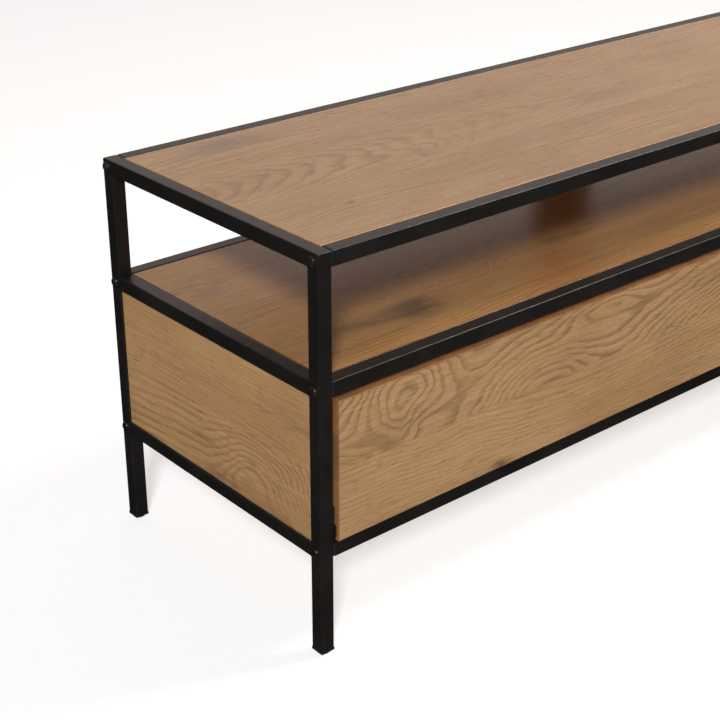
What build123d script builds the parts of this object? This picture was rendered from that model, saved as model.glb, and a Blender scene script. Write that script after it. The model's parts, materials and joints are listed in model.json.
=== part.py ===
from build123d import *
import os

# A TV stand: two welded side frames of square tube, bolted together by six long rails,
# with inset boards, an open bay above and a cabinet below that is closed by two flap doors.
# Millimetres. +X runs along the stand, -Y is the front, +Z is up.
# The origin is on the floor, in the middle of the stand's outline.

os.makedirs("parts", exist_ok=True)

# ---- driving dimensions ----
length = 1600.0            # over the legs
depth = 400.0              # over the legs
height = 489.0             # floor to top
door_proud = 5.0           # the doors stand in front of the frame by this much

tube = 18.0                # square tube, outside
wall = 1.2
tube_round = 1.6           # outside corner of the tube
collar = 2.5               # insert collar between a leg and a long rail

foot_overhang = 0.6        # the foot plugs stand out from the legs by this much
glide_height = 2.5
plug_flange = 2.5
leg_bottom = glide_height + plug_flange

bottom_rail_top = 144.5
shelf_rail_top = 343.0
rail_tops = {"bottom": bottom_rail_top, "shelf": shelf_rail_top, "top": height}

board = 15.0               # boards of the carcass
board_gap = 0.5            # play round an inset board
board_round = 0.8
panel_recess = 2.5         # side and back boards sit this far inside the frame
shelf_drop = 0.5           # the shelf lies just under the rails' top
support_width = 115.0
support_recess = 1.5

door_board = 16.0
door_side_gap = 3.5        # door to leg, and door to door
door_bottom_gap = 3.5
door_top_gap = 4.2
edging = 1.0
edging_round = 0.7

pivot_up = 10.0            # pivot axis above the door's bottom edge
pivot_radius = 2.5
running_clearance = 0.06
bush_radius = 4.0
bush_length = 14.0
pin_reach = 12.5           # pin inside the door
stop_angle = 20.0          # from +Y towards +Z, seen along -X, with the door shut
stop_orbit = 6.0
stop_radius = 1.25
stop_reach = 10.0
slot_play = 0.2
plate = 2.0
plate_round = 2.0
plate_bottom = 151.0
plate_top = 190.0
plate_nose = 2.0           # a pivot plate's lower part stands this far in front of the frame
plate_nose_top = 168.0
plate_shoulder = 1.0       # its upper part stays this far behind the frame's front
plate_screw_heights = (172.0, 184.0)

latch_axis_height = 311.5
latch_barrel_radius = 7.5
latch_bore_radius = 3.58
plunger_radius = 3.5
plunger_tip_radius = 5.0
strike_radius = 7.0
strike_thickness = 1.0
latch_screw_radius = 1.5
spring_radius = 2.4
spring_wire = 0.4
spring_pitch = 3.0

hole_play = 0.05           # a fastener in its own hole
tab = (24.0, 20.0, 1.5)    # welded tab: along the rail, out from it, thickness
tab_hole = 2.2
wood_screw_radius = 2.0
wood_screw_head = 3.6
wood_screw_head_height = 1.5
dowel_radius = 3.0
bolt_radius = 3.0
bolt_head_radius = 6.0
bolt_head_height = 3.5
bolt_socket = 4.0
bolt_socket_depth = 2.0

# ---- derived places ----
half_length = length / 2
front = -(depth + foot_overhang - door_proud) / 2   # front plane of the frame
back = front + depth                       # back plane of the frame
middle = (front + back) / 2                # mid plane of the frame, front to back
leg_x = half_length - tube / 2
front_leg_y = front + tube / 2
back_leg_y = back - tube / 2
inside_x = half_length - tube              # inner faces of the legs
inside_front = front + tube
inside_back = back - tube
rail_end = inside_x - collar               # ends of the long rails
inner_tube = tube - 2 * wall
inner_round = tube_round - wall
rail_middle = {name: top - tube / 2 for name, top in rail_tops.items()}

top_board_bottom = height - board
shelf_top = shelf_rail_top - shelf_drop
shelf_bottom = shelf_top - board
floor_top = bottom_rail_top
floor_bottom = floor_top - board
cabinet_top = shelf_rail_top - tube        # underside of the shelf rails

door_outer = inside_x - door_side_gap      # the end beside the leg
door_inner = door_side_gap / 2             # the end beside the other door
door_middle_x = (door_outer + door_inner) / 2
door_bottom = bottom_rail_top + door_bottom_gap
door_top = cabinet_top - door_top_gap
door_front = front - door_proud
door_back = door_front + door_board
pivot_y = front + 3.0
pivot_z = door_bottom + pivot_up

divider_front = inside_front + board_gap
divider_back = inside_back
centre_plate_back = divider_front + 30.0

latch_front = front + 20.0
latch_back = latch_front + 48.0
latch_bore_end = latch_back - 2.0
plunger_front = door_back + 0.25
plunger_back = latch_front + 24.0

sides = {"left": -1, "right": 1}
tab_x = (-640.0, -352.0, 352.0, 640.0)
side_panel_x = half_length - panel_recess - board / 2
side_points = {
    side: [(sign * side_panel_x, middle - 110.0), (sign * side_panel_x, middle + 110.0)]
    for side, sign in sides.items()
}
back_panel_y = back - panel_recess - board / 2
back_points = [(x, back_panel_y) for x in (-600.0, 0.0, 600.0)]
support_y = back - support_recess - board / 2
support_points = [(-40.0, support_y), (40.0, support_y)]


# ---- planes ----
def along_x(x):
    """Plane across X at x: its own axes are Y and Z."""
    return Plane(origin=(x, 0, 0), x_dir=(0, 1, 0), z_dir=(1, 0, 0))


def along_y(y):
    """Plane across Y at y, looking along +Y: its own axes are X and -Z."""
    return Plane(origin=(0, y, 0), x_dir=(1, 0, 0), z_dir=(0, 1, 0))


def along_z(z):
    return Plane.XY.offset(z)


def save(part, name):
    """Label one finished piece and write it."""
    part.label = name
    export_step(part, f"parts/{name}.step")


def box_between(x_range, y_range, z_range):
    """A plain block between two limits on each axis, added to the open part."""
    centre = tuple((low + high) / 2 for low, high in (x_range, y_range, z_range))
    size = tuple(high - low for low, high in (x_range, y_range, z_range))
    with Locations(centre):
        Box(*size)


def drill(plane, points, radius, depth):
    """Cut round holes from a plane, along its normal."""
    with BuildSketch(plane) as outlines:
        with Locations(*points):
            Circle(radius)
    extrude(outlines.sketch, amount=depth, mode=Mode.SUBTRACT)


def peg(plane, points, radius, reach):
    """Add round pegs on a plane, along its normal."""
    with BuildSketch(plane) as outlines:
        with Locations(*points):
            Circle(radius)
    extrude(outlines.sketch, amount=reach)


# ---- steel frame ----
def make_leg(x, y, toward_rail):
    """Upright tube, closed at the top, squared where the side rails are welded on."""
    with BuildPart() as leg:
        with BuildSketch(Plane(origin=(x, y, leg_bottom))):
            RectangleRounded(tube, tube, tube_round)
        extrude(amount=height - leg_bottom)
        for top in rail_tops.values():
            weld_y = sorted((y, y + toward_rail * tube / 2))
            box_between((x - tube / 2, x + tube / 2), weld_y, (top - tube, top))
        top_edges = leg.edges().group_by(Axis.Z)[-1].sort_by(Axis.Y)
        free_edges = top_edges[:-1] if toward_rail > 0 else top_edges[1:]
        fillet(free_edges, tube_round)
        with BuildSketch(Plane(origin=(x, y, leg_bottom))):
            RectangleRounded(inner_tube, inner_tube, inner_round)
        extrude(amount=height - leg_bottom - wall, mode=Mode.SUBTRACT)
        bolt_points = [(y, z) for z in rail_middle.values()]
        drill(along_x(x - tube / 2), bolt_points, bolt_radius + 0.3, tube)
    return leg.part


def add_rail_holes(points, z_middle, lower_radius, upper_radius):
    """Holes in the lower and upper walls of a lying tube."""
    if lower_radius:
        drill(along_z(z_middle - tube / 2), points, lower_radius, tube / 2)
    if upper_radius:
        drill(along_z(z_middle), points, upper_radius, tube / 2)


def make_long_rail(y, level, holes):
    """Each entry of holes is (points, radius in the lower wall, radius in the upper wall)."""
    with BuildPart() as rail:
        start = Plane(origin=(-rail_end, y, rail_middle[level]), x_dir=(0, 1, 0), z_dir=(1, 0, 0))
        with BuildSketch(start):
            RectangleRounded(tube, tube, tube_round)
            RectangleRounded(inner_tube, inner_tube, inner_round, mode=Mode.SUBTRACT)
        extrude(amount=2 * rail_end)
        for points, lower_radius, upper_radius in holes:
            add_rail_holes(points, rail_middle[level], lower_radius, upper_radius)
    return rail.part


def make_side_rail(x, level, holes):
    with BuildPart() as rail:
        start = Plane(origin=(x, inside_front, rail_middle[level]), x_dir=(1, 0, 0), z_dir=(0, 1, 0))
        with BuildSketch(start):
            RectangleRounded(tube, tube, tube_round)
            RectangleRounded(inner_tube, inner_tube, inner_round, mode=Mode.SUBTRACT)
        extrude(amount=inside_back - inside_front)
        for points, lower_radius, upper_radius in holes:
            add_rail_holes(points, rail_middle[level], lower_radius, upper_radius)
    return rail.part


head_access = wood_screw_head + 0.4
screw_passage = wood_screw_radius + hole_play
dowel_hole = dowel_radius + hole_play

for side, sign in sides.items():
    save(make_leg(sign * leg_x, front_leg_y, 1), f"{side}_front_leg")
    save(make_leg(sign * leg_x, back_leg_y, -1), f"{side}_back_leg")
    save(make_side_rail(sign * leg_x, "top", []), f"{side}_top_side_rail")
    shelf_holes = [(side_points[side], dowel_hole, 0)]
    save(make_side_rail(sign * leg_x, "shelf", shelf_holes), f"{side}_shelf_side_rail")
    bottom_holes = [(side_points[side], head_access, screw_passage)]
    save(make_side_rail(sign * leg_x, "bottom", bottom_holes), f"{side}_bottom_side_rail")

save(make_long_rail(front_leg_y, "top", []), "front_top_rail")
save(make_long_rail(back_leg_y, "top", [(support_points, dowel_hole, 0)]), "back_top_rail")
save(make_long_rail(front_leg_y, "shelf", []), "front_shelf_rail")
back_shelf_holes = [(back_points, dowel_hole, 0), (support_points, 0, dowel_hole)]
save(make_long_rail(back_leg_y, "shelf", back_shelf_holes), "back_shelf_rail")
save(make_long_rail(front_leg_y, "bottom", []), "front_bottom_rail")
back_bottom_holes = [(back_points, head_access, screw_passage)]
save(make_long_rail(back_leg_y, "bottom", back_bottom_holes), "back_bottom_rail")

# Threaded inserts in the ends of the long rails. Their collars show beside the legs.
insert_body = inner_tube - 0.2
insert_depth = 18.0
joint_points = [(y, z) for y in (front_leg_y, back_leg_y) for z in rail_middle.values()]
with BuildPart() as rail_inserts:
    for sign in sides.values():
        with BuildSketch(along_x(sign * (inside_x - collar / 2))):
            with Locations(*joint_points):
                RectangleRounded(tube - 1.0, tube - 1.0, tube_round)
        extrude(amount=collar / 2, both=True)
        with BuildSketch(along_x(sign * (rail_end - insert_depth / 2))):
            with Locations(*joint_points):
                RectangleRounded(insert_body, insert_body, inner_round)
        extrude(amount=insert_depth / 2, both=True)
    drill(along_x(-half_length), joint_points, bolt_radius + hole_play, length)
save(rail_inserts.part, "rail_inserts")

# Button-head bolts with a hexagon socket, from the outside of each leg.
bolt_length = tube + collar + 14.0
with BuildPart() as frame_bolts:
    for sign in sides.values():
        inward = Plane(origin=(sign * half_length, 0, 0), x_dir=(0, 1, 0), z_dir=(-sign, 0, 0))
        local_points = [(y, -sign * z) for y, z in joint_points]
        peg(inward, local_points, bolt_radius, bolt_length)
        with BuildSketch(inward):
            with Locations(*local_points):
                Circle(bolt_head_radius)
        extrude(amount=-bolt_head_height)
        crown = frame_bolts.edges().filter_by(GeomType.CIRCLE).group_by(Axis.X)[0 if sign < 0 else -1]
        fillet(crown, 2.4)
        socket_mouth = inward.offset(-bolt_head_height)
        with BuildSketch(socket_mouth):
            with Locations(*local_points):
                RegularPolygon(bolt_socket / 2, 6, major_radius=False)
        extrude(amount=bolt_socket_depth, mode=Mode.SUBTRACT)
save(frame_bolts.part, "frame_bolts")

# Feet: a square plug in each leg, and a glide screwed into it.
foot_points = [(x, y) for x in (-leg_x, leg_x) for y in (front_leg_y, back_leg_y)]
plug_width = tube + 2 * foot_overhang
plug_depth = 20.0
stem_reach = 18.0
with BuildPart() as foot_plugs:
    with BuildSketch(along_z(glide_height)):
        with Locations(*foot_points):
            RectangleRounded(plug_width, plug_width, tube_round)
    extrude(amount=plug_flange)
    fillet(foot_plugs.edges().group_by(Axis.Z)[0], 0.8)
    with BuildSketch(along_z(leg_bottom)):
        with Locations(*foot_points):
            RectangleRounded(insert_body, insert_body, inner_round)
    extrude(amount=plug_depth)
    drill(along_z(glide_height), foot_points, bolt_radius + hole_play, plug_flange + plug_depth)
save(foot_plugs.part, "foot_plugs")

with BuildPart() as foot_glides:
    peg(along_z(0), foot_points, 8.0, glide_height)
    fillet(foot_glides.edges().group_by(Axis.Z)[0], 1.2)
    peg(along_z(glide_height), foot_points, bolt_radius, stem_reach)
save(foot_glides.part, "foot_glides")


# ---- boards ----
def make_lying_board(top, holes):
    """A board inset in the frame. Each entry of holes is (points, radius, depth), from below."""
    reach_x = inside_x - board_gap
    with BuildPart() as lying:
        box_between((-reach_x, reach_x), (inside_front + board_gap, inside_back - board_gap),
                    (top - board, top))
        fillet(lying.edges().group_by(Axis.Z)[-1], board_round)
        for points, radius, depth in holes:
            drill(along_z(top - board), points, radius, depth)
    return lying.part


def tab_places(side_tabs=True):
    """Middle of each welded tab: (x, y, size along X, size along Y)."""
    out = tab[1] / 2
    places = [(x, inside_front + out, tab[0], tab[1]) for x in tab_x]
    places += [(x, inside_back - out, tab[0], tab[1]) for x in tab_x]
    places += [(sign * (inside_x - out), middle, tab[1], tab[0]) for sign in sides.values()]
    return places


tab_points = [(x, y) for x, y, _, _ in tab_places()]
board_bottoms = {"top_panel": top_board_bottom, "shelf_panel": shelf_bottom, "floor_panel": floor_bottom}

divider_points = [(0, middle - 90.0), (0, middle + 90.0)]
latch_screw_points = [
    (sign * door_middle_x + offset, latch_front + 24.0)
    for sign in sides.values()
    for offset in (-11.0, 11.0)
]
tab_screw_holes = (tab_points, screw_passage, board - 4.0)
divider_dowel_holes = (divider_points, dowel_hole, 10.0)
latch_screw_holes = (latch_screw_points, latch_screw_radius + hole_play, 10.0)
divider_screw_holes = (divider_points, screw_passage, board)

save(make_lying_board(height, [tab_screw_holes]), "top_panel")
shelf_holes = [tab_screw_holes, divider_dowel_holes, latch_screw_holes]
save(make_lying_board(shelf_top, shelf_holes), "shelf_panel")
save(make_lying_board(floor_top, [tab_screw_holes, divider_screw_holes]), "floor_panel")

for name, bottom in board_bottoms.items():
    with BuildPart() as tabs:
        for x, y, size_x, size_y in tab_places():
            with Locations((x, y, bottom - tab[2] / 2)):
                Box(size_x, size_y, tab[2])
        drill(along_z(bottom - tab[2]), tab_points, tab_hole, tab[2])
    save(tabs.part, f"{name}_tabs")

upright_top = cabinet_top - board_gap
edge_screw_depth = 22.0
dowel_depth = 16.0
for side, sign in sides.items():
    x = sign * side_panel_x
    with BuildPart() as side_panel:
        box_between((x - board / 2, x + board / 2), (inside_front + board_gap, inside_back - board_gap),
                    (bottom_rail_top, upright_top))
        drill(along_z(bottom_rail_top), side_points[side], screw_passage, edge_screw_depth)
        drill(along_z(upright_top - dowel_depth), side_points[side], dowel_hole, dowel_depth)
    save(side_panel.part, f"{side}_side_panel")

with BuildPart() as back_panel:
    box_between((-inside_x + board_gap, inside_x - board_gap),
                (back_panel_y - board / 2, back_panel_y + board / 2), (bottom_rail_top, upright_top))
    drill(along_z(bottom_rail_top), back_points, screw_passage, edge_screw_depth)
    drill(along_z(upright_top - dowel_depth), back_points, dowel_hole, dowel_depth)
save(back_panel.part, "back_panel")

with BuildPart() as centre_support:
    box_between((-support_width / 2, support_width / 2),
                (support_y - board / 2, support_y + board / 2), (shelf_rail_top, height - tube))
    drill(along_z(shelf_rail_top), support_points, dowel_hole, dowel_depth)
    drill(along_z(height - tube - dowel_depth), support_points, dowel_hole, dowel_depth)
save(centre_support.part, "centre_support")

plate_screw_points = [(centre_plate_back - 15.0, z) for z in plate_screw_heights]
with BuildPart() as centre_divider:
    box_between((-board / 2, board / 2), (divider_front, divider_back), (floor_top, shelf_bottom))
    with Locations((0, divider_front, (plate_bottom + plate_top) / 2)):
        Box(plate + 0.2, 2 * (centre_plate_back - divider_front + 0.5),
            plate_top - plate_bottom + 1.0, mode=Mode.SUBTRACT)
    drill(along_z(floor_top), divider_points, screw_passage, edge_screw_depth)
    drill(along_z(shelf_bottom - dowel_depth), divider_points, dowel_hole, dowel_depth)
    drill(along_x(-board / 2), plate_screw_points, screw_passage, board)
save(centre_divider.part, "centre_divider")


# ---- fasteners of the boards ----
def add_screws(points, bearing_z, reach):
    """Pan-head wood screws pointing up, with their heads under a face at bearing_z."""
    peg(along_z(bearing_z), points, wood_screw_radius, reach)
    head_bottom = bearing_z - wood_screw_head_height
    peg(along_z(head_bottom), points, wood_screw_head, wood_screw_head_height)
    with BuildSketch(along_z(head_bottom)) as crosses:
        with Locations(*points):
            Rectangle(4.0, 0.9)
            Rectangle(0.9, 4.0)
    extrude(crosses.sketch, amount=0.9, mode=Mode.SUBTRACT)


with BuildPart() as tab_screws:
    for bottom in board_bottoms.values():
        add_screws(tab_points, bottom - tab[2], tab[2] + board - 4.5)
save(tab_screws.part, "tab_screws")

edge_points = side_points["left"] + side_points["right"] + back_points
with BuildPart() as edge_screws:
    add_screws(edge_points, bottom_rail_top - wall, wall + edge_screw_depth - 1.0)
save(edge_screws.part, "edge_screws")

with BuildPart() as divider_screws:
    add_screws(divider_points, floor_bottom, board + edge_screw_depth - 1.0)
save(divider_screws.part, "divider_screws")

with BuildPart() as dowels:
    peg(along_z(upright_top - dowel_depth + 0.5), edge_points, dowel_radius, dowel_depth + 4.0)
    peg(along_z(shelf_bottom - dowel_depth + 0.5), divider_points, dowel_radius, dowel_depth + 9.0)
    peg(along_z(shelf_rail_top - 4.0), support_points, dowel_radius, dowel_depth + 3.5)
    peg(along_z(height - tube - dowel_depth + 0.5), support_points, dowel_radius, dowel_depth + 3.5)
save(dowels.part, "dowels")

# ---- door pivots ----
# Each plate holds a fixed pin for the door's bush and a curved slot for its stop pin.
stop_arc = CenterArc((pivot_y, pivot_z), stop_orbit, stop_angle, 90.0)


def add_pivot_plate(x_middle, y_back, screw_points, screw_radius):
    """A flat bracket across X, with a low nose at the pivot, from the frame's front back to y_back."""
    nose = front - plate_nose
    with BuildSketch(along_x(x_middle)) as outline:
        with Locations(((nose + y_back) / 2, (plate_bottom + plate_top) / 2)):
            RectangleRounded(y_back - nose, plate_top - plate_bottom, plate_round)
        with Locations((nose, plate_top)):
            Rectangle(2 * (plate_nose + plate_shoulder), 2 * (plate_top - plate_nose_top), mode=Mode.SUBTRACT)
        with Locations((pivot_y, pivot_z)):
            Circle(pivot_radius, mode=Mode.SUBTRACT)
        with Locations(*screw_points):
            Circle(screw_radius, mode=Mode.SUBTRACT)
        SlotArc(stop_arc, 2 * (stop_radius + slot_play), mode=Mode.SUBTRACT)
    extrude(outline.sketch, amount=plate / 2, both=True)


leg_screw_points = [(front_leg_y, z) for z in plate_screw_heights]
countersink_radius = wood_screw_radius + plate - 0.2
with BuildPart() as leg_pivot_brackets:
    for sign in sides.values():
        add_pivot_plate(sign * (inside_x - plate / 2), front + 16.0, leg_screw_points, wood_screw_radius)
        door_face = Plane(origin=(sign * (inside_x - plate), 0, 0), x_dir=(0, 1, 0), z_dir=(sign, 0, 0))
        for y, z in leg_screw_points:
            with BuildSketch(door_face):
                with Locations((y, sign * z)):
                    Circle(countersink_radius + hole_play)
            extrude(amount=plate - 0.2, taper=45, mode=Mode.SUBTRACT)
save(leg_pivot_brackets.part, "leg_pivot_brackets")

with BuildPart() as centre_pivot_bracket:
    add_pivot_plate(0, centre_plate_back, plate_screw_points, wood_screw_radius + hole_play)
save(centre_pivot_bracket.part, "centre_pivot_bracket")

outer_pin_length = door_side_gap + pin_reach
with BuildPart() as pivot_pins:
    peg(along_x(-inside_x), [(pivot_y, pivot_z)], pivot_radius, outer_pin_length)
    peg(along_x(inside_x - outer_pin_length), [(pivot_y, pivot_z)], pivot_radius, outer_pin_length)
    centre_reach = door_inner + pin_reach
    peg(along_x(-centre_reach), [(pivot_y, pivot_z)], pivot_radius, 2 * centre_reach)
    pin_ends = pivot_pins.edges().filter_by(GeomType.CIRCLE)
    inner_ends = [edge for edge in pin_ends if abs(edge.center().X) < inside_x - 1.0]
    chamfer(inner_ends, 0.4)
save(pivot_pins.part, "pivot_pins")

with BuildPart() as pivot_bracket_screws:
    for sign in sides.values():
        into_leg = Plane(origin=(sign * (inside_x - plate), 0, 0), x_dir=(0, 1, 0), z_dir=(sign, 0, 0))
        for y, z in leg_screw_points:
            with BuildSketch(into_leg):
                with Locations((y, sign * z)):
                    Circle(countersink_radius)
            extrude(amount=plate - 0.2, taper=45)
        peg(into_leg, [(y, sign * z) for y, z in leg_screw_points], wood_screw_radius, plate)
    for y, z in plate_screw_points:
        peg(along_x(0.5 - board / 2), [(y, z)], wood_screw_radius, board - 1.0)
save(pivot_bracket_screws.part, "pivot_bracket_screws")

# ---- push latches ----
barrel_length = latch_back - latch_front
base_width = 30.0
base_thickness = 2.5
pedestal_width = 9.0

for side, sign in sides.items():
    x = sign * door_middle_x
    own_screws = [point for point in latch_screw_points if point[0] * sign > 0]
    axis_point = (x, -latch_axis_height)
    with BuildPart() as latch_housing:
        box_between((x - base_width / 2, x + base_width / 2), (latch_front, latch_back),
                    (shelf_bottom - base_thickness, shelf_bottom))
        box_between((x - pedestal_width / 2, x + pedestal_width / 2), (latch_front, latch_back),
                    (latch_axis_height, shelf_bottom - base_thickness))
        peg(along_y(latch_front), [axis_point], latch_barrel_radius, barrel_length)
        fillet(latch_housing.edges().filter_by(GeomType.CIRCLE), 1.0)
        drill(along_y(latch_front), [axis_point], latch_bore_radius, latch_bore_end - latch_front)
        screw_hole = latch_screw_radius + hole_play
        drill(along_z(shelf_bottom - base_thickness), own_screws, screw_hole, base_thickness)
    save(latch_housing.part, f"{side}_latch_housing")

    with BuildPart() as plunger:
        peg(along_y(plunger_front), [axis_point], plunger_tip_radius, 3.0)
        fillet(plunger.edges().group_by(Axis.Y)[-1], 0.8)
        peg(along_y(plunger_front + 3.0), [axis_point], plunger_radius, plunger_back - plunger_front - 3.0)
    save(plunger.part, f"{side}_latch_plunger")

    spring_start = plunger_back + spring_wire + 0.1
    spring_height = latch_bore_end - spring_start - spring_wire - 0.1
    coil_start = (x, spring_start, latch_axis_height)
    with BuildPart() as latch_spring:
        with BuildLine():
            coil = Helix(spring_pitch, spring_height, spring_radius, center=coil_start, direction=(0, 1, 0))
        with BuildSketch(Plane(origin=coil @ 0, z_dir=coil % 0)):
            RegularPolygon(spring_wire, 8)
        sweep(is_frenet=True)
    save(latch_spring.part, f"{side}_latch_spring")

with BuildPart() as latch_screws:
    base_bottom = shelf_bottom - base_thickness
    peg(along_z(base_bottom), latch_screw_points, latch_screw_radius, base_thickness + 9.0)
    peg(along_z(base_bottom - 1.6), latch_screw_points, 2.8, 1.6)
save(latch_screws.part, "latch_screws")

# ---- doors ----
bush_bore = bush_radius + hole_play
stop_hole = stop_radius + hole_play
stop_y = (stop_arc @ 0).X
stop_z = (stop_arc @ 0).Y

for side, sign in sides.items():
    ends = sorted((sign * door_outer, sign * door_inner))
    with BuildPart() as door_edging:
        box_between(ends, (door_front, door_back), (door_bottom, door_top))
        rim = door_edging.faces().sort_by(Axis.Y)[0].edges()
        fillet(rim, edging_round)
        with Locations((sign * door_middle_x, (door_front + door_back) / 2, (door_bottom + door_top) / 2)):
            Box(ends[1] - ends[0] - 2 * edging, door_board, door_top - door_bottom - 2 * edging,
                mode=Mode.SUBTRACT)
        drill(along_x(ends[0]), [(pivot_y, pivot_z)], bush_bore, ends[1] - ends[0])
        drill(along_x(ends[0]), [(stop_y, stop_z)], stop_hole, ends[1] - ends[0])
    save(door_edging.part, f"{side}_door_edging")

    with BuildPart() as door_panel:
        box_between((ends[0] + edging, ends[1] - edging), (door_front, door_back),
                    (door_bottom + edging, door_top - edging))
        for end, inward in ((ends[0], 1), (ends[1], -1)):
            end_plane = Plane(origin=(end, 0, 0), x_dir=(0, 1, 0), z_dir=(inward, 0, 0))
            drill(end_plane, [(pivot_y, inward * pivot_z)], bush_bore, bush_length + 0.5)
            drill(end_plane, [(stop_y, inward * stop_z)], stop_hole, stop_reach + 0.5)
        drill(along_y(door_back - strike_thickness), [(sign * door_middle_x, -latch_axis_height)],
              strike_radius + hole_play, strike_thickness)
    save(door_panel.part, f"{side}_door_panel")

    with BuildPart() as door_bushes:
        for start in (ends[0], ends[1] - bush_length):
            with BuildSketch(along_x(start)):
                with Locations((pivot_y, pivot_z)):
                    Circle(bush_radius)
                    Circle(pivot_radius + running_clearance, mode=Mode.SUBTRACT)
            extrude(amount=bush_length)
    save(door_bushes.part, f"{side}_door_bushes")

    # The stop pins end inside the slots, clear of the leg and of the other door's pin.
    leg_end_reach = door_side_gap - 0.2
    middle_end_reach = door_inner - 0.1
    reaches = (leg_end_reach, middle_end_reach) if sign < 0 else (middle_end_reach, leg_end_reach)
    with BuildPart() as door_stop_pins:
        peg(along_x(ends[0] - reaches[0]), [(stop_y, stop_z)], stop_radius, stop_reach + reaches[0])
        peg(along_x(ends[1] - stop_reach), [(stop_y, stop_z)], stop_radius, stop_reach + reaches[1])
    save(door_stop_pins.part, f"{side}_door_stop_pins")

    with BuildPart() as strike_plate:
        peg(along_y(door_back - strike_thickness), [(sign * door_middle_x, -latch_axis_height)],
            strike_radius, strike_thickness)
    save(strike_plate.part, f"{side}_strike_plate")
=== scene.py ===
import json
import math

import bpy
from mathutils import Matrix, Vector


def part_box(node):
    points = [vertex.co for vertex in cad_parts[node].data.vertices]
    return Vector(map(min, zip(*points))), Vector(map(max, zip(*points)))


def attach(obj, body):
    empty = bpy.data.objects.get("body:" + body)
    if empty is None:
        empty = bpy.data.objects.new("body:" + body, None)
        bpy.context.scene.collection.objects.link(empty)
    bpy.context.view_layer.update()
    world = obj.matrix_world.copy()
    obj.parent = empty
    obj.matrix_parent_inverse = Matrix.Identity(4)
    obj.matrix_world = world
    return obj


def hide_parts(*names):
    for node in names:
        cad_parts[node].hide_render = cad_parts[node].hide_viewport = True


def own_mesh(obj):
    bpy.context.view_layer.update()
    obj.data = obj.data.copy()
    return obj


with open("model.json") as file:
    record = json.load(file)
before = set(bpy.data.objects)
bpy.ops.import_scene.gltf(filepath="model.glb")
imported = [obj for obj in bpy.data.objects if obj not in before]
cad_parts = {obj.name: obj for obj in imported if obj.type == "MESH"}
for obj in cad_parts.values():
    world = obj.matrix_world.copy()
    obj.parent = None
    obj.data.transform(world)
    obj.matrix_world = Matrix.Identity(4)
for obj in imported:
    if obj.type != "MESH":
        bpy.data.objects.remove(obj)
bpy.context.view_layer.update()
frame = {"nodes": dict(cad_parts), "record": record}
scene = bpy.context.scene


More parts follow.
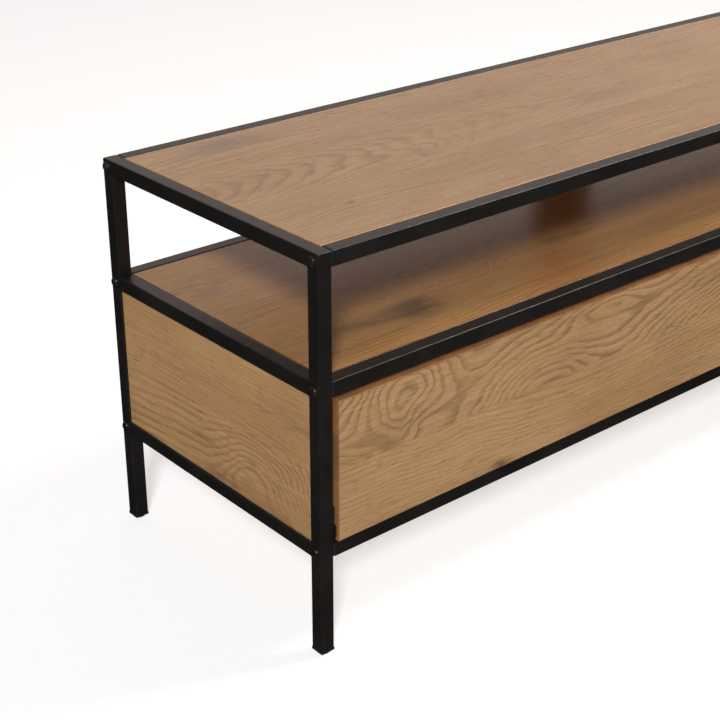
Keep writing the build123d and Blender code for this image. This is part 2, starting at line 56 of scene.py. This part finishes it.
# ---- node helpers ----
class Tree:
    """Short names for the nodes that the materials are made of."""

    def __init__(self, name):
        self.material = bpy.data.materials.new(name)
        self.material.use_nodes = True
        self.tree = self.material.node_tree
        self.tree.nodes.clear()
        self.output = self.node("ShaderNodeOutputMaterial")
        self.shader = self.node("ShaderNodeBsdfPrincipled")
        self.tree.links.new(self.shader.outputs[0], self.output.inputs["Surface"])
        self.place = self.node("ShaderNodeTexCoord").outputs["Object"]

    def node(self, kind, **settings):
        made = self.tree.nodes.new(kind)
        for key, value in settings.items():
            setattr(made, key, value)
        return made

    def feed(self, socket, value):
        """Links a socket, or sets a plain value."""
        if isinstance(value, bpy.types.NodeSocket):
            self.tree.links.new(value, socket)
        elif value is not None:
            socket.default_value = value

    def math(self, operation, a, b=None, c=None, clamp=False):
        made = self.node("ShaderNodeMath", operation=operation, use_clamp=clamp)
        for socket, value in zip(made.inputs, (a, b, c)):
            self.feed(socket, value)
        return made.outputs[0]

    def vector(self, operation, a, b, output="Vector"):
        made = self.node("ShaderNodeVectorMath", operation=operation)
        self.feed(made.inputs[0], a)
        self.feed(made.inputs[1], b)
        return made.outputs[output]

    def joined(self, x, y, z=None):
        made = self.node("ShaderNodeCombineXYZ")
        for socket, value in zip(made.inputs, (x, y, z)):
            self.feed(socket, value)
        return made.outputs[0]

    def noise(self, place, cells, detail=2.0, roughness=0.5, output="Fac"):
        """Noise with so many cells in a metre: one number, or one for each axis."""
        if isinstance(cells, tuple):
            place, cells = self.vector("MULTIPLY", place, cells), 1.0
        made = self.node("ShaderNodeTexNoise")
        self.feed(made.inputs["Vector"], place)
        made.inputs["Scale"].default_value = cells
        made.inputs["Detail"].default_value = detail
        made.inputs["Roughness"].default_value = roughness
        return made.outputs[output]

    def between(self, value, low, high, to_low=0.0, to_high=1.0):
        """Value eased from low..high to to_low..to_high, and clamped."""
        made = self.node("ShaderNodeMapRange", interpolation_type="SMOOTHSTEP")
        limits = {"From Min": low, "From Max": high, "To Min": to_low, "To Max": to_high}
        for name, number in limits.items():
            made.inputs[name].default_value = number
        self.feed(made.inputs["Value"], value)
        return made.outputs[0]

    def ramp(self, value, stops):
        """Ramp from (place, grey) stops."""
        made = self.node("ShaderNodeValToRGB")
        elements = made.color_ramp.elements
        while len(elements) < len(stops):
            elements.new(0.5)
        for element, (place, grey) in zip(elements, stops):
            element.position = place
            element.color = (grey, grey, grey, 1)
        self.feed(made.inputs[0], value)
        return made.outputs[0]

    def mix(self, factor, a, b):
        """Mix of two colours."""
        made = self.node("ShaderNodeMix", data_type="RGBA")
        self.feed(made.inputs[0], factor)
        for socket, value in ((made.inputs[6], a), (made.inputs[7], b)):
            self.feed(socket, (*value, 1) if isinstance(value, tuple) else value)
        return made.outputs[2]

    def choose(self, factor, a, b):
        """Mix of two numbers."""
        made = self.node("ShaderNodeMix", data_type="FLOAT")
        self.feed(made.inputs[0], factor)
        self.feed(made.inputs[2], a)
        self.feed(made.inputs[3], b)
        return made.outputs[0]

    def bump(self, *heights):
        """Stacks (height, distance in metres) bumps and feeds them to the shader."""
        normal = None
        for height, distance in heights:
            made = self.node("ShaderNodeBump")
            made.inputs["Strength"].default_value = 1.0
            made.inputs["Distance"].default_value = distance
            self.feed(made.inputs["Height"], height)
            self.feed(made.inputs["Normal"], normal)
            normal = made.outputs[0]
        self.feed(self.shader.inputs["Normal"], normal)

    def set(self, **values):
        for name, value in values.items():
            self.feed(self.shader.inputs[name.replace("_", " ")], value)


def toned(colour, tone):
    """Colour with each channel scaled by the tone."""
    return tuple(part * scale for part, scale in zip(colour, tone))


# ---- oak decor ----
# A board's decor is made of planks that follow each other across the board. Each plank has a field whose
# whole numbers are growth rings: a slope, a bowl that opens along the plank, and rounded rises that turn
# the rings into arches and eyes. Lengths are metres in the row frame.
AXES = {"x": 0, "y": 1, "z": 2}

PALE_OAK = (0.440, 0.272, 0.135)
LIGHT_OAK = (0.395, 0.236, 0.112)
DEEP_OAK = (0.325, 0.186, 0.080)
RING_BROWN = (0.185, 0.096, 0.039)
PORE_BROWN = (0.120, 0.064, 0.029)

# Noise cells in a metre: along the grain, across it, and into the board.
SLOW_WANDER = (5.0, 22.0, 5.0)
QUICK_WANDER = (26.0, 95.0, 26.0)
TINY_WANDER = (120.0, 520.0, 120.0)
BEND = (13.0, 26.0, 13.0)
FADE = (7.0, 30.0, 7.0)
FIBRE = (12.0, 720.0, 200.0)
STREAK = (3.0, 120.0, 20.0)
PORE = (55.0, 1150.0, 300.0)
PORE_ROOM = (9.0, 60.0, 9.0)
CLOUD = (4.0, 9.0, 4.0)

SLOW_RINGS, QUICK_RINGS, TINY_RINGS = 3.0, 0.42, 0.22    # rings that each wander moves the field by
BEND_REACH = (0.040, 0.013, 0.0)                         # metres that a ring is bent along and across
PLANK_SHIFT = 3.7                                        # metres between the patterns of two planks
DEPTH_SHARE = 0.3                                        # how fast the pattern changes into the board
FINE_RINGS = 2.37                                        # fine rings to each growth ring
RING_STRENGTH, FINE_STRENGTH = 0.85, 0.20                # how much rings and fine rings darken the wood
GRAIN_DEPTH, RING_DEPTH = 0.00006, 0.000015              # metres of relief

# A ring darkens slowly and ends sharply.
RING_PROFILE = ((0.0, 0.35), (0.12, 0.0), (0.50, 0.12), (0.78, 0.80), (0.91, 1.0), (1.0, 0.35))
FINE_PROFILE = ((0.0, 0.2), (0.3, 0.0), (0.85, 1.0), (1.0, 0.2))


def hill(t, place, centre, reach):
    """Rounded rise from 0 to 1 around a centre."""
    away = t.vector("DIVIDE", t.vector("SUBTRACT", place, (*centre, 0)), (*reach, 1))
    return t.math("EXPONENT", t.math("MULTIPLY", t.vector("DOT_PRODUCT", away, away, output="Value"), -1.0))


def ring_field(t, place, plank, wander):
    """Rings of one plank at place, whose x runs along the grain and y across it."""
    field = t.vector("DOT_PRODUCT", place, (*plank["slope"], 0), output="Value")
    if "bowl" in plank:
        centre, strength = plank["bowl"]
        across = t.vector("DOT_PRODUCT", place, (0, 1, 0), output="Value")
        off = t.math("SUBTRACT", across, centre)
        field = t.math("MULTIPLY_ADD", t.math("MULTIPLY", off, off), strength, field)
    for centre, reach, rings in plank.get("rises", ()):
        field = t.math("MULTIPLY_ADD", hill(t, place, centre, reach), rings, field)
    return t.math("MULTIPLY_ADD", wander, plank.get("wander", 1.0), field)


def ring_weight(t, place, plank):
    """How dark the rings of one plank are: an even weight, and more of it round each accent."""
    weight = plank.get("weight", 1.0)
    for centre, reach, more in plank.get("accents", ()):
        weight = t.math("MULTIPLY_ADD", hill(t, place, centre, reach), more, weight)
    return weight


def border_line(t, places, edge):
    """1 on the line round the border of the board, and 0 inside it."""
    lines = []
    for value, centre, half in zip(places, edge["middle"], edge["half"]):
        away = t.math("ABSOLUTE", t.math("SUBTRACT", value, centre))
        lines.append(t.between(away, half - edge["width"], half - 0.4 * edge["width"]))
    return t.math("MAXIMUM", *lines)


def oak(name, along, across, planks, seed, tone=(1.0, 1.0, 1.0), figure=1.0, knots=(), edge=None,
        shine=0.34, gloss=0.5):
    """Wild oak decor under a satin lacquer, with its grain along one axis and its planks across another."""
    t = Tree(name)
    split = t.node("ShaderNodeSeparateXYZ")
    t.feed(split.inputs[0], t.place)
    lengthwise, crosswise = split.outputs[AXES[along]], split.outputs[AXES[across]]
    inward = split.outputs[3 - AXES[along] - AXES[across]]
    flat = t.joined(lengthwise, crosswise)

    # Each plank has its own stretch of the pattern.
    beyond = [t.math("GREATER_THAN", crosswise, plank["from"]) for plank in planks[1:]]
    shifted = lengthwise
    if beyond:
        plank_number = beyond[0]
        for passed in beyond[1:]:
            plank_number = t.math("ADD", plank_number, passed)
        shifted = t.math("MULTIPLY_ADD", plank_number, PLANK_SHIFT, lengthwise)
    place = t.joined(shifted, crosswise, t.math("MULTIPLY_ADD", inward, DEPTH_SHARE, seed))

    # Growth rings, which wander and bend, are strong in places, and fade in others.
    quick = t.noise(place, QUICK_WANDER, 3.0, 0.6)
    wander = t.math("MULTIPLY", t.noise(place, SLOW_WANDER), SLOW_RINGS)
    wander = t.math("MULTIPLY_ADD", quick, QUICK_RINGS, wander)
    wander = t.math("MULTIPLY_ADD", t.noise(place, TINY_WANDER), TINY_RINGS, wander)
    bend = t.vector("SUBTRACT", t.noise(place, BEND, output="Color"), (0.5, 0.5, 0.5))
    bent = t.vector("ADD", flat, t.vector("MULTIPLY", bend, BEND_REACH))
    field = ring_field(t, bent, planks[0], wander)
    weight = ring_weight(t, bent, planks[0])
    for passed, plank in zip(beyond, planks[1:]):
        field = t.choose(passed, field, ring_field(t, bent, plank, wander))
        weight = t.choose(passed, weight, ring_weight(t, bent, plank))
    ring = t.ramp(t.math("FRACT", field), RING_PROFILE)
    fine_ring = t.ramp(t.math("FRACT", t.math("MULTIPLY", field, FINE_RINGS)), FINE_PROFILE)
    fade = t.between(t.noise(place, FADE, 2.0, 0.6), 0.32, 0.62, 0.58, 1.0)

    # Fibres, pores and long streaks.
    fibre = t.noise(place, FIBRE, 4.0, 0.66)
    streak = t.noise(place, STREAK, 4.0, 0.6)
    cloud = t.noise(place, CLOUD, 3.0, 0.55)
    pore_room = t.between(t.noise(place, PORE_ROOM), 0.35, 0.65, 0.25, 1.0)
    pores = t.math("MULTIPLY", t.between(t.noise(place, PORE, 1.0), 0.60, 0.70), pore_room)

    pale, light, deep = toned(PALE_OAK, tone), toned(LIGHT_OAK, tone), toned(DEEP_OAK, tone)
    ring_tone, pore_tone = toned(RING_BROWN, tone), toned(PORE_BROWN, tone)
    colour = t.mix(t.between(cloud, 0.30, 0.70), light, deep)
    colour = t.mix(t.between(streak, 0.42, 0.74, 0.0, 0.42), colour, pale)
    ragged = t.math("MULTIPLY", t.math("MULTIPLY", ring, weight), t.between(fibre, 0.25, 0.65, 0.75, 1.15))
    for rings, strength in ((ragged, RING_STRENGTH), (fine_ring, FINE_STRENGTH)):
        shown = t.math("MULTIPLY", t.math("MULTIPLY", rings, fade), strength * figure)
        colour = t.mix(shown, colour, ring_tone)
    colour = t.mix(t.between(fibre, 0.46, 0.70, 0.0, 0.34), colour, ring_tone)
    colour = t.mix(t.between(fibre, 0.50, 0.28, 0.0, 0.50), colour, pale)
    colour = t.mix(t.math("MULTIPLY", pores, 0.75), colour, pore_tone)

    # Knots and smudges, with edges that the fibres make ragged.
    if knots:
        patchy = t.math("MULTIPLY_ADD", quick, 3.0, -0.6)
        rough_edge = t.math("MULTIPLY", patchy, t.between(fibre, 0.25, 0.70, 0.65, 1.30))
    for centre, reach, strength, tint in knots:
        mask = t.math("MULTIPLY", hill(t, flat, centre, reach), rough_edge, clamp=True)
        mask = t.math("MULTIPLY", mask, strength, clamp=True)
        colour = t.mix(mask, colour, tint)

    if edge:
        border = border_line(t, (lengthwise, crosswise), edge)
        colour = t.mix(t.math("MULTIPLY", border, 0.8), colour, edge["tint"])

    roughness = t.math("MULTIPLY_ADD", fibre, 0.16, shine - 0.08)
    roughness = t.math("MULTIPLY_ADD", pores, 0.18, roughness, clamp=True)
    height = t.math("MULTIPLY_ADD", pores, -1.0, t.math("MULTIPLY", fibre, 0.8))
    t.set(Base_Color=colour, Roughness=roughness, IOR=1.5, Specular_IOR_Level=gloss)
    t.bump((height, GRAIN_DEPTH), (ring, RING_DEPTH))
    return t.material


def banding(name, tone):
    """Edge band: a thin strip of plainer, browner decor, with its fibres along x."""
    t = Tree(name)
    fibre = t.noise(t.place, (25.0, 700.0, 700.0), 3.0, 0.6)
    cloud = t.noise(t.place, 30.0)
    red, brown, dark = (0.34, 0.148, 0.052), (0.22, 0.104, 0.042), (0.12, 0.055, 0.024)
    colour = t.mix(t.between(cloud, 0.3, 0.7), toned(red, tone), toned(brown, tone))
    colour = t.mix(t.between(fibre, 0.5, 0.8, 0.0, 0.6), colour, toned(dark, tone))
    t.set(Base_Color=colour, Roughness=t.math("MULTIPLY_ADD", fibre, 0.2, 0.38), IOR=1.5)
    t.bump((fibre, 0.00006))
    return t.material


# ---- metal, plastic and beech ----
def powder_coat(name):
    """Fine matt black powder coat: orange peel, tiny specks, and a little dust."""
    t = Tree(name)
    peel = t.noise(t.place, 1500.0, 2.0, 0.55)
    grain = t.noise(t.place, 5200.0, 1.0)
    cloud = t.noise(t.place, 14.0, 3.0, 0.6)
    smear = t.noise(t.place, (9.0, 9.0, 30.0), 4.0, 0.6)
    black, brown, dust = (0.0064, 0.0060, 0.0058), (0.0105, 0.0090, 0.0080), (0.030, 0.026, 0.024)
    colour = t.mix(t.between(cloud, 0.35, 0.7), black, brown)
    colour = t.mix(t.between(grain, 0.62, 0.75, 0.0, 0.35), colour, dust)
    roughness = t.math("MULTIPLY_ADD", smear, 0.12, 0.28)
    roughness = t.math("MULTIPLY_ADD", grain, 0.08, roughness)
    t.set(Base_Color=colour, Roughness=roughness, IOR=1.5)
    t.bump((peel, 0.00003), (grain, 0.000012))
    return t.material


def black_oxide(name):
    """Oiled black steel, patchy and a little scuffed."""
    t = Tree(name)
    scuff = t.noise(t.place, 420.0, 4.0, 0.65)
    patch = t.noise(t.place, 90.0)
    colour = t.mix(t.between(patch, 0.35, 0.7), (0.010, 0.009, 0.009), (0.024, 0.020, 0.018))
    colour = t.mix(t.between(scuff, 0.62, 0.78, 0.0, 0.5), colour, (0.09, 0.08, 0.07))
    t.set(Base_Color=colour, Roughness=t.math("MULTIPLY_ADD", scuff, 0.25, 0.18), Metallic=0.35, IOR=1.5)
    t.bump((scuff, 0.00004))
    return t.material


def moulded_plastic(name):
    """Black plastic with the fine pits of a spark-eroded mould."""
    t = Tree(name)
    spark = t.node("ShaderNodeTexVoronoi", feature="F1")
    t.feed(spark.inputs["Vector"], t.place)
    spark.inputs["Scale"].default_value = 1800.0
    cloud = t.noise(t.place, 60.0, 3.0, 0.6)
    colour = t.mix(t.between(cloud, 0.3, 0.7), (0.008, 0.008, 0.008), (0.016, 0.015, 0.015))
    t.set(Base_Color=colour, Roughness=t.math("MULTIPLY_ADD", cloud, 0.15, 0.42), IOR=1.46)
    t.bump((spark.outputs["Distance"], 0.00003))
    return t.material


def zinc(name):
    """Zinc-plated steel, turned, with a patchy sheen."""
    t = Tree(name)
    turned = t.noise(t.place, (300.0, 300.0, 2600.0))
    patch = t.noise(t.place, 160.0, 3.0, 0.6)
    colour = t.mix(t.between(patch, 0.35, 0.7), (0.60, 0.60, 0.58), (0.46, 0.45, 0.42))
    roughness = t.math("MULTIPLY_ADD", patch, 0.22, t.math("MULTIPLY_ADD", turned, 0.12, 0.18))
    t.set(Base_Color=colour, Roughness=roughness, Metallic=1.0)
    t.bump((turned, 0.00003))
    return t.material


def beech(name):
    """Raw beech with short flecks."""
    t = Tree(name)
    fibre = t.noise(t.place, (900.0, 900.0, 60.0), 3.0, 0.6)
    fleck = t.between(t.noise(t.place, (600.0, 600.0, 160.0), 1.0), 0.62, 0.7)
    colour = t.mix(t.between(fibre, 0.3, 0.7), (0.56, 0.38, 0.22), (0.44, 0.28, 0.15))
    colour = t.mix(t.math("MULTIPLY", fleck, 0.5), colour, (0.28, 0.15, 0.07))
    t.set(Base_Color=colour, Roughness=t.math("MULTIPLY_ADD", fibre, 0.2, 0.5))
    t.bump((fibre, 0.00008))
    return t.material


# ---- the boards, one entry for each ----
# Every centre and reach is (along, across), in metres.
#   "from": where a plank starts across the board      "slope": rings in a metre (along, across)
#   "bowl": (middle across, strength)                  "rises": (centre, reach, rings)
#   "wander", "weight": shares, 1 where left out       "accents": (centre, reach, more weight)
#   knots: (centre, reach, strength, tint)
KNOT = (0.105, 0.058, 0.032)
SMUDGE = (0.225, 0.145, 0.100)
RUST = (0.330, 0.140, 0.050)
FLARE = (0.210, 0.115, 0.060)

STRAIGHT = {"slope": (0.6, -150.0)}
DOOR_TONE = (0.96, 0.96, 0.91)
SIDE_TONE = (1.06, 1.03, 0.94)

# The top has a light line round its border, and the shelf, with the same outline, has a dark line of
# painted shade round its border, where it meets the rails.
top_low, top_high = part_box("top_panel")
outline = {
    "half": ((top_high.x - top_low.x) / 2, (top_high.y - top_low.y) / 2),
    "middle": ((top_high.x + top_low.x) / 2, (top_high.y + top_low.y) / 2),
}
light_line = dict(outline, width=0.0012, tint=(0.46, 0.26, 0.10))
painted_shade_line = dict(outline, width=0.0014, tint=(0.035, 0.020, 0.012))

decor = {
    "top_panel": dict(
        # The top's tone is lighter and bluer than the other boards': painted sheen of the sky on its upward
        # face.
        along="x", across="y", seed=1.3, tone=(1.01, 1.05, 1.16), figure=0.72, edge=light_line,
        planks=[
            {"slope": (-2.0, -170.0), "wander": 0.7,
             "rises": [((-0.676, -0.103), (0.09, 0.020), 2.5), ((-0.15, -0.09), (0.30, 0.03), 3.0)]},
            {"from": -0.046, "slope": (27.0, 0.0), "bowl": (0.024, 900.0), "wander": 0.5, "weight": 0.55,
             "accents": [((-0.620, 0.010), (0.150, 0.045), 1.1), ((-0.150, 0.000), (0.130, 0.030), 0.6)],
             "rises": [((-0.50, -0.02), (0.10, 0.02), -2.0), ((0.02, 0.02), (0.20, 0.03), -9.0)]},
            {"from": 0.072, "slope": (1.5, -110.0), "wander": 0.8,
             "rises": [((-0.654, 0.153), (0.12, 0.03), 3.0)]},
        ],
        knots=[
            ((-0.660, 0.155), (0.046, 0.013), 1.5, SMUDGE),
            ((-0.700, 0.140), (0.050, 0.011), 0.85, SMUDGE),
            ((-0.600, 0.145), (0.045, 0.010), 0.45, SMUDGE),
            ((-0.676, -0.103), (0.004, 0.003), 1.2, KNOT),
            ((-0.416, 0.0845), (0.016, 0.0030), 0.9, SMUDGE),
            ((-0.118, 0.157), (0.026, 0.006), 0.7, SMUDGE),
            ((-0.504, -0.031), (0.007, 0.008), 1.3, SMUDGE),
            ((-0.350, -0.046), (0.080, 0.0030), 0.65, SMUDGE),
            ((-0.150, 0.000), (0.075, 0.018), 0.40, SMUDGE),
            ((-0.265, -0.065), (0.018, 0.006), 0.45, SMUDGE),
            ((0.420, -0.120), (0.030, 0.012), 0.7, SMUDGE),
        ],
    ),
    "shelf_panel": dict(
        # The shelf's dark border line is painted shade where it meets the rails.
        along="x", across="y", seed=6.1, tone=(1.08, 0.97, 0.78), figure=0.75, edge=painted_shade_line,
        shine=0.27, gloss=0.40,
        planks=[
            {"slope": (-1.0, -150.0), "wander": 0.8, "rises": [((-0.40, -0.165), (0.12, 0.03), 3.0)]},
            {"from": -0.142, "slope": (60.0, -20.0), "bowl": (-0.075, 7000.0), "wander": 0.7, "weight": 0.7,
             "accents": [((-0.430, -0.085), (0.080, 0.025), 0.8)],
             "rises": [((-0.589, -0.108), (0.045, 0.022), 7.0), ((0.10, -0.08), (0.16, 0.03), -6.0),
                       ((-0.415, -0.095), (0.060, 0.040), 6.0)]},
            {"from": -0.020, "slope": (1.0, -150.0), "wander": 0.9,
             "rises": [((-0.747, 0.07), (0.06, 0.02), -4.0)]},
        ],
        knots=[
            ((-0.586, -0.112), (0.030, 0.018), 1.8, (0.110, 0.062, 0.032)),
            ((-0.640, -0.108), (0.070, 0.014), 1.0, (0.185, 0.105, 0.055)),
            ((-0.355, -0.110), (0.055, 0.028), 0.95, RUST),
            ((-0.385, -0.155), (0.050, 0.016), 0.90, RUST),
            ((-0.312, -0.068), (0.018, 0.010), 0.55, KNOT),
            ((-0.262, -0.072), (0.030, 0.007), 0.50, KNOT),
            ((-0.225, -0.060), (0.020, 0.006), 0.8, SMUDGE),
            ((-0.340, -0.085), (0.030, 0.006), 0.6, SMUDGE),
            ((-0.747, 0.072), (0.016, 0.010), 0.9, SMUDGE),
            ((0.300, 0.020), (0.040, 0.014), 0.8, KNOT),
        ],
    ),
    "floor_panel": dict(
        along="x", across="y", seed=11.7,
        planks=[STRAIGHT, {"from": 0.03, "slope": (14.0, 0.0), "bowl": (0.09, 2200.0)}],
    ),
    "left_door_panel": dict(
        along="x", across="z", seed=2.6, tone=DOOR_TONE,
        planks=[
            {"slope": (-4.0, -165.0), "wander": 0.45, "weight": 0.55,
             "rises": [((-0.390, 0.200), (0.20, 0.050), -3.5), ((-0.531, 0.146), (0.05, 0.018), 2.5)]},
            {"from": 0.2365, "slope": (12.0, -32.0), "wander": 0.60,
             "rises": [((-0.683, 0.310), (0.070, 0.042), 7.5), ((-0.690, 0.268), (0.022, 0.030), 1.8),
                       ((-0.805, 0.230), (0.092, 0.055), 7.5), ((-0.469, 0.240), (0.095, 0.048), 6.5),
                       ((-0.354, 0.307), (0.075, 0.016), 3.0), ((-0.080, 0.205), (0.190, 0.075), 10.0)]},
        ],
        knots=[((-0.531, 0.153), (0.015, 0.005), 1.3, (0.120, 0.062, 0.040))],
    ),
    "right_door_panel": dict(
        along="x", across="z", seed=8.9, tone=DOOR_TONE, figure=0.95,
        planks=[
            {"slope": (16.0, 0.0), "bowl": (0.195, 4200.0), "rises": [((0.36, 0.19), (0.07, 0.025), 5.0)]},
            {"from": 0.2365, "slope": (2.0, -110.0),
             "rises": [((0.22, 0.28), (0.10, 0.035), 5.0), ((0.60, 0.29), (0.06, 0.03), -6.0)]},
        ],
        knots=[((0.36, 0.19), (0.014, 0.008), 1.0, KNOT), ((0.625, 0.292), (0.030, 0.008), 0.6, SMUDGE)],
    ),
    "left_side_panel": dict(
        along="y", across="z", seed=4.2, tone=SIDE_TONE, figure=0.80,
        planks=[
            {"slope": (-6.0, -85.0), "wander": 0.50,
             "rises": [((-0.070, 0.186), (0.055, 0.040), 4.5), ((-0.200, 0.190), (0.045, 0.070), -6.0)]},
            {"from": 0.232, "slope": (2.0, -200.0), "wander": 0.9, "weight": 0.55,
             "rises": [((-0.150, 0.279), (0.06, 0.010), 3.0)]},
        ],
        knots=[
            ((0.018, 0.191), (0.024, 0.004), 0.8, (0.200, 0.100, 0.050)),
            ((-0.020, 0.152), (0.045, 0.008), 0.8, (0.210, 0.105, 0.050)),
            ((-0.110, 0.150), (0.040, 0.012), 0.6, (0.210, 0.105, 0.055)),
            ((-0.072, 0.198), (0.012, 0.007), 0.6, FLARE),
            ((-0.165, 0.277), (0.030, 0.003), 0.8, FLARE),
        ],
    ),
    "right_side_panel": dict(
        along="y", across="z", seed=5.5, tone=SIDE_TONE, figure=0.80,
        planks=[STRAIGHT, {"from": 0.236, "slope": (14.0, 0.0), "bowl": (0.285, 4200.0)}],
        knots=[((0.06, 0.200), (0.018, 0.007), 0.8, KNOT)],
    ),
    "back_panel": dict(
        along="x", across="z", seed=14.4, tone=(0.97, 0.95, 0.92), figure=0.8,
        planks=[{"slope": (12.0, 0.0), "bowl": (0.19, 3000.0)}, {"from": 0.240, "slope": (1.0, -140.0)}],
        knots=[((0.31, 0.20), (0.030, 0.010), 0.8, SMUDGE), ((-0.42, 0.28), (0.014, 0.008), 0.9, KNOT)],
    ),
    "centre_support": dict(
        along="z", across="x", seed=17.0, tone=(0.82, 0.76, 0.68),
        planks=[{"slope": (3.0, 150.0)}],
    ),
    "centre_divider": dict(
        along="y", across="z", seed=19.2, tone=(0.95, 0.93, 0.90),
        planks=[STRAIGHT],
    ),
}

by_slot = {
    "frame_steel": powder_coat("powder_coat_black"),
    "black_hardware": black_oxide("black_oxide"),
    "black_plastic": moulded_plastic("black_moulded_plastic"),
    "zinc_steel": zinc("zinc_plate"),
    "beech_dowel": beech("beech"),
    "oak_edging": banding("oak_edge_band", tone=(0.78, 0.78, 0.78)),
}
slot_of = {row["node"]: row["material_slot"] for row in frame["record"]["subparts"]}
for name, node in frame["nodes"].items():
    if name in decor:
        material = oak("oak_" + name, **decor[name])
    else:
        material = by_slot[slot_of[name]]
    node.data.materials.clear()
    node.data.materials.append(material)


# ---- latch springs: each spring is copied into a coil with a mesh of its own, on the stand ----
for side in ("left", "right"):
    spring = side + "_latch_spring"
    coil = bpy.data.objects.new(side + "_latch_coil", frame["nodes"][spring].data.copy())
    scene.collection.objects.link(coil)
    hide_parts(spring)
    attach(coil, "stand")
    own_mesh(coil)


# ---- floor and backdrop ----
FLOOR_REACH = 16.0
DOME_RADIUS = 14.0
DOME_AROUND, DOME_UPWARD = 96, 24
PAPER_GREY, PAPER_TOOTH = 0.50, 0.04    # how pale the paper is, and how much paler its tooth
FLOOR_GLOW, DOME_GLOW = 1.15, 1.55


def paper(name, glow):
    """Matt studio paper, lit through from behind."""
    t = Tree(name)
    tooth = t.noise(t.place, 60.0, 4.0, 0.6)
    white = t.mix(tooth, (PAPER_GREY,) * 3, (PAPER_GREY + PAPER_TOOTH,) * 3)
    t.set(Base_Color=white, Roughness=0.9, Specular_IOR_Level=0.0)
    t.set(Emission_Color=white, Emission_Strength=glow)
    return t.material


def stage_piece(name, points, faces, material):
    """A sheet that stands behind or under the object and isn't mirrored in it."""
    mesh = bpy.data.meshes.new(name)
    mesh.from_pydata(points, [], faces)
    piece = bpy.data.objects.new(name, mesh)
    scene.collection.objects.link(piece)
    piece.visible_glossy = False
    mesh.materials.append(material)
    return piece


def half_sphere():
    """Points and faces of the dome over the floor."""
    points, faces = [], []
    for level in range(DOME_UPWARD + 1):
        rise = math.radians(90) * level / DOME_UPWARD
        ring_radius, ring_height = DOME_RADIUS * math.cos(rise), DOME_RADIUS * math.sin(rise)
        for step in range(DOME_AROUND):
            turn = math.radians(360) * step / DOME_AROUND
            points.append((ring_radius * math.cos(turn), ring_radius * math.sin(turn), ring_height))
    for level in range(DOME_UPWARD):
        lower, upper = level * DOME_AROUND, (level + 1) * DOME_AROUND
        for step in range(DOME_AROUND):
            onward = (step + 1) % DOME_AROUND
            faces.append((lower + step, lower + onward, upper + onward, upper + step))
    return points, faces


corners = [(x * FLOOR_REACH, y * FLOOR_REACH, 0) for x, y in ((-1, -1), (1, -1), (1, 1), (-1, 1))]
stage_piece("studio_floor", corners, [(0, 1, 2, 3)], paper("pale_floor", FLOOR_GLOW))
backdrop = stage_piece("studio_backdrop", *half_sphere(), paper("pale_backdrop", DOME_GLOW))
backdrop.visible_diffuse = False
backdrop.visible_shadow = False


# ---- sky: dim, with a warm bright patch behind the object and to its right ----
PATCH_TOWARDS = (0.66, 0.60, 0.45)
DIM_SKY = (0.55, (0.10, 0.10, 0.10, 1))       # nearness to the patch, and the colour there
BRIGHT_SKY = (0.90, (0.68, 0.57, 0.53, 1))
HORIZON = 0.01

world = bpy.data.worlds.new("studio")
scene.world = world
world.use_nodes = True
sky = world.node_tree
sky.nodes.clear()
sky_out = sky.nodes.new("ShaderNodeOutputWorld")
sky_light = sky.nodes.new("ShaderNodeBackground")
sky_place = sky.nodes.new("ShaderNodeTexCoord")
sky_nearness = sky.nodes.new("ShaderNodeVectorMath")
sky_nearness.operation = "DOT_PRODUCT"
sky_nearness.inputs[1].default_value = PATCH_TOWARDS
sky_ramp = sky.nodes.new("ShaderNodeValToRGB")
for stop, (position, colour) in zip(sky_ramp.color_ramp.elements, (DIM_SKY, BRIGHT_SKY)):
    stop.position, stop.color = position, colour
sky_split = sky.nodes.new("ShaderNodeSeparateXYZ")
sky_above = sky.nodes.new("ShaderNodeMath")
sky_above.operation = "GREATER_THAN"
sky_above.inputs[1].default_value = HORIZON
sky.links.new(sky_place.outputs["Generated"], sky_nearness.inputs[0])
sky.links.new(sky_nearness.outputs["Value"], sky_ramp.inputs[0])
sky.links.new(sky_ramp.outputs[0], sky_light.inputs["Color"])
sky.links.new(sky_place.outputs["Generated"], sky_split.inputs[0])
sky.links.new(sky_split.outputs["Z"], sky_above.inputs[0])
sky.links.new(sky_above.outputs[0], sky_light.inputs["Strength"])
sky.links.new(sky_light.outputs[0], sky_out.inputs["Surface"])


# ---- lamps ----
def softbox(name, azimuth, elevation, distance, size, power, aim=(0, 0, 0.25), colour=(1, 1, 1)):
    """A square area light. Azimuth 0 is straight in front, and it grows towards the viewer's right."""
    lamp = bpy.data.lights.new(name, "AREA")
    lamp.shape = "SQUARE"
    lamp.size = size
    lamp.energy = power
    lamp.color = colour
    holder = bpy.data.objects.new(name, lamp)
    holder.visible_camera = False
    scene.collection.objects.link(holder)
    turn, rise = math.radians(azimuth), math.radians(elevation)
    away = (math.sin(turn) * math.cos(rise), -math.cos(turn) * math.cos(rise), math.sin(rise))
    holder.location = [start + distance * part for start, part in zip(aim, away)]
    holder.rotation_euler = (math.radians(90 - elevation), 0, turn)


softbox("key_softbox", -44, 33, distance=9.0, size=1.3, power=715, aim=(-0.4, 0, 0.4))
softbox("fill_softbox", 66, 50, distance=5.0, size=1.0, power=105, colour=(1.0, 0.88, 0.80))
softbox("right_softbox", 20, 62, distance=1.6, size=0.5, power=8, aim=(0.65, -0.1, 0.35))


# ---- camera: the left end, from above and in front ----
camera = bpy.data.cameras.new("camera")
camera.lens = 74.56
camera.sensor_width = 36.0
camera_holder = bpy.data.objects.new("camera", camera)
scene.collection.objects.link(camera_holder)
camera_holder.location = (-1.6592, -1.2648, 1.0406)
camera_holder.rotation_euler = [math.radians(angle) for angle in (64.042, -0.132, -40.534)]
scene.camera = camera_holder
scene.view_settings.view_transform = "Standard"
